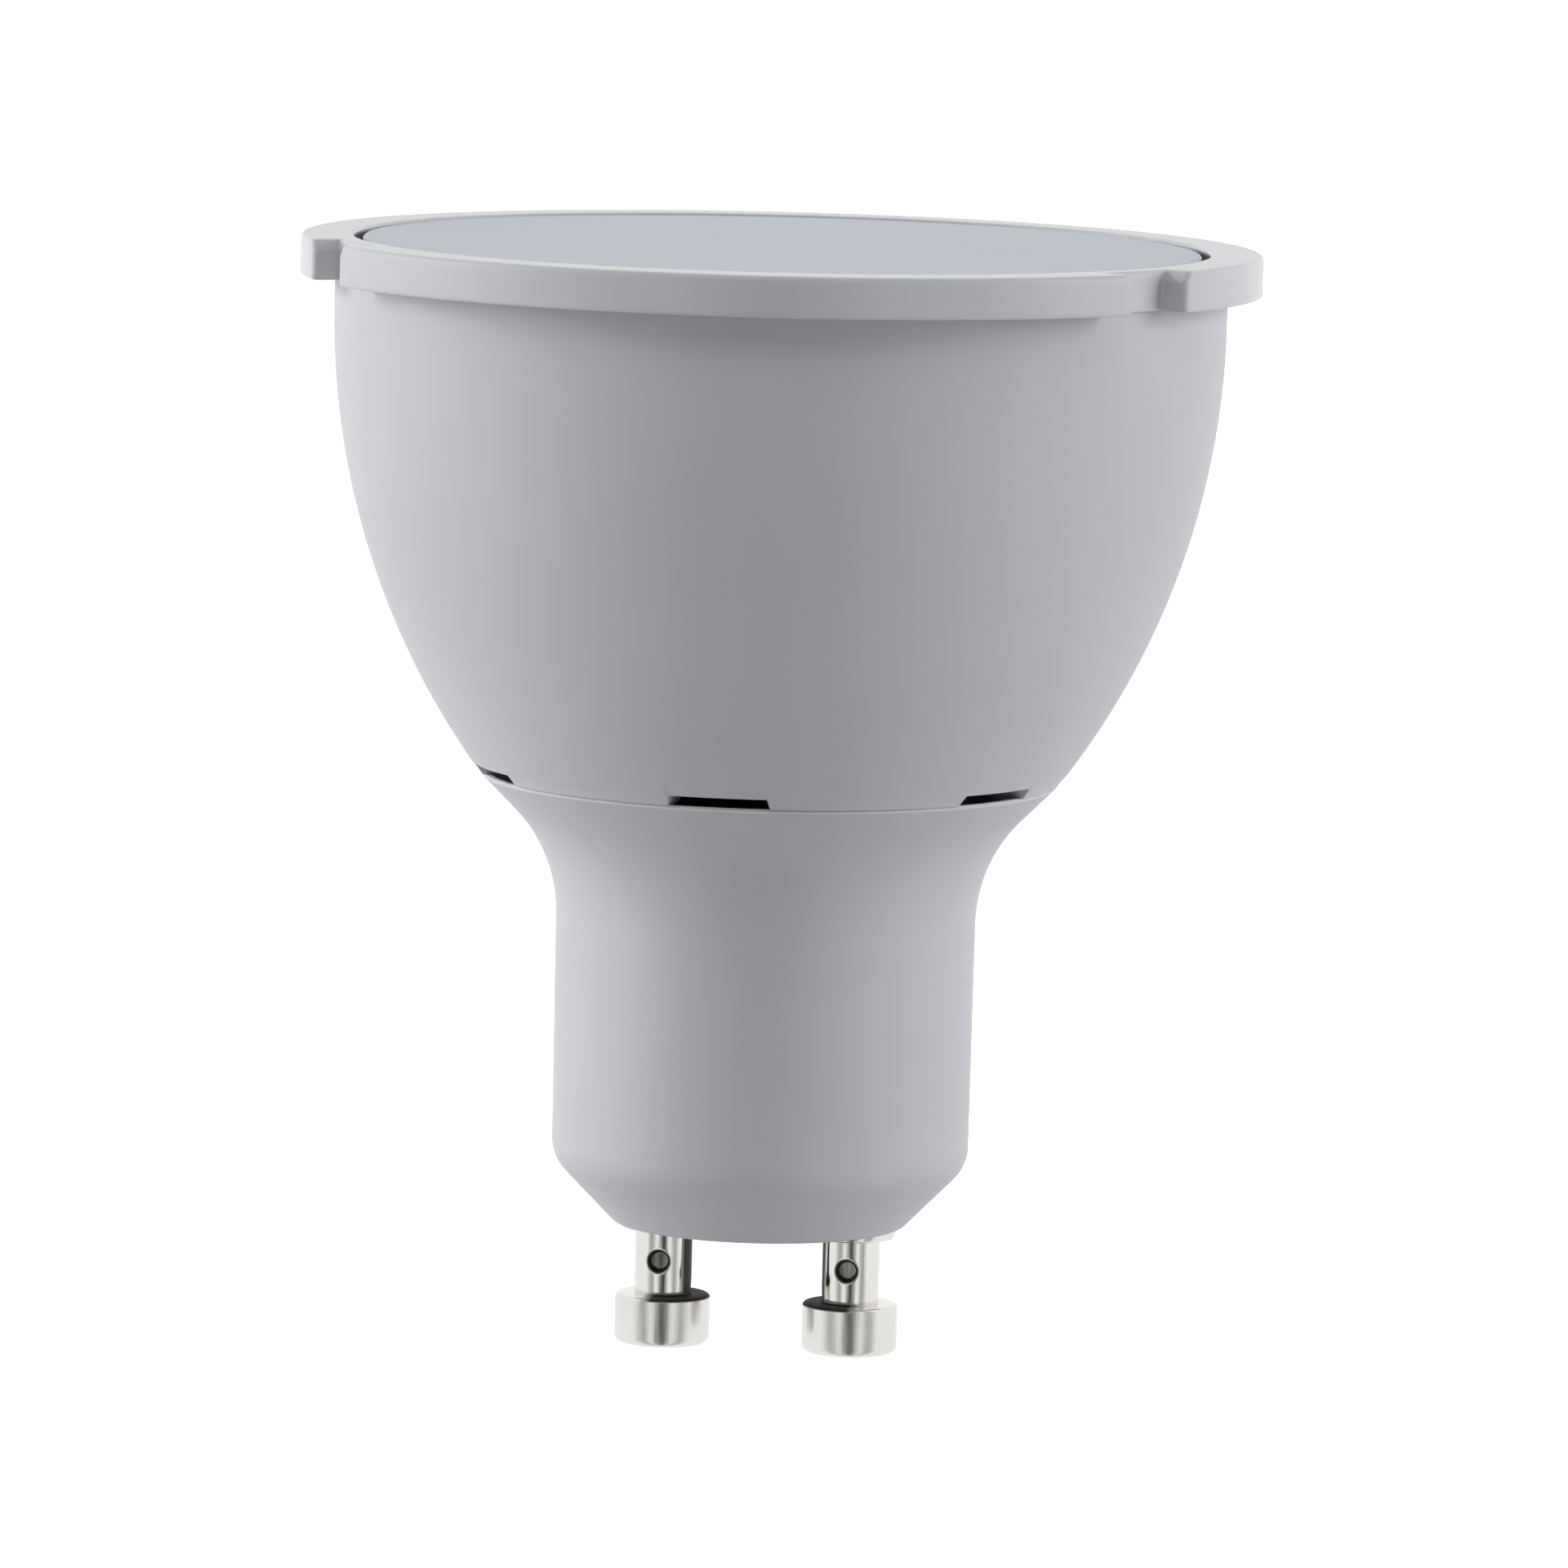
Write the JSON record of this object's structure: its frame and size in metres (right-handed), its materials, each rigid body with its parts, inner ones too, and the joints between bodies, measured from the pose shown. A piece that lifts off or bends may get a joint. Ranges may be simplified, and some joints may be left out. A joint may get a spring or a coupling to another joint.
{
  "type": "gu10 spotlight lamp",
  "caption": "Reflector-shaped spotlight lamp with light-emitting diodes: twist-lock pin cap, flared neck with a driver board, vented cup, notched front ring and frosted lens.",
  "frame": {"origin": "on the lamp's axis, level with the undersides of the two contact feet", "axes": "+Z along the lamp's axis from the pins to the lens; X runs through both pins; -Y is the side of the middle vent slot"},
  "size_m": [0.05, 0.0499, 0.0581],
  "materials": {
    "nickel_plating": "bright nickel plating on turned brass",
    "housing_plastic": "fine moulded satin, light cool grey",
    "ring_plastic": "fine moulded satin, light cool grey",
    "frosted_lens": "frosted translucent disc",
    "gasket_rubber": "black sealing ring",
    "spreader_aluminium": "pressed sheet, as rolled",
    "silicone_pad": "soft thermal sheet",
    "white_solder_mask": "white solder mask on a metal core",
    "phosphor": "yellow phosphor gel in a white package",
    "screw_steel": "zinc-plated steel",
    "silicone_bush": "translucent white silicone",
    "green_solder_mask": "green solder mask on glass-fibre board",
    "ferrite": "sintered ferrite",
    "enamelled_copper": "enamelled copper wire",
    "capacitor_sleeve": "shrink sleeve",
    "film_case": "moulded box",
    "resistor_coat": "cement coat",
    "moulding_compound": "black epoxy",
    "black_insulation": "silicone insulation",
    "red_insulation": "silicone insulation"
  },
  "bodies": {
    "root": {"contact_pin_left": "nickel_plating", "contact_pin_right": "nickel_plating", "base_housing": "housing_plastic", "upper_housing": "housing_plastic", "bezel_ring": "ring_plastic", "lens_gasket": "gasket_rubber", "diffuser_lens": "frosted_lens", "heat_spreader": "spreader_aluminium", "thermal_pad": "silicone_pad", "led_board": "white_solder_mask", "led_packages": "phosphor", "board_screws": "screw_steel", "lead_grommet": "silicone_bush", "driver_board": "green_solder_mask", "choke_core": "ferrite", "choke_winding": "enamelled_copper", "input_capacitor": "capacitor_sleeve", "output_capacitor": "capacitor_sleeve", "film_capacitor": "film_case", "fusible_resistor": "resistor_coat", "bridge_rectifier": "moulding_compound", "driver_chip": "moulding_compound", "output_diode": "moulding_compound", "small_resistors": "moulding_compound", "supply_lead_left": "black_insulation", "supply_lead_right": "black_insulation", "output_lead_positive": "red_insulation", "output_lead_negative": "black_insulation"}
  },
  "joints": []
}
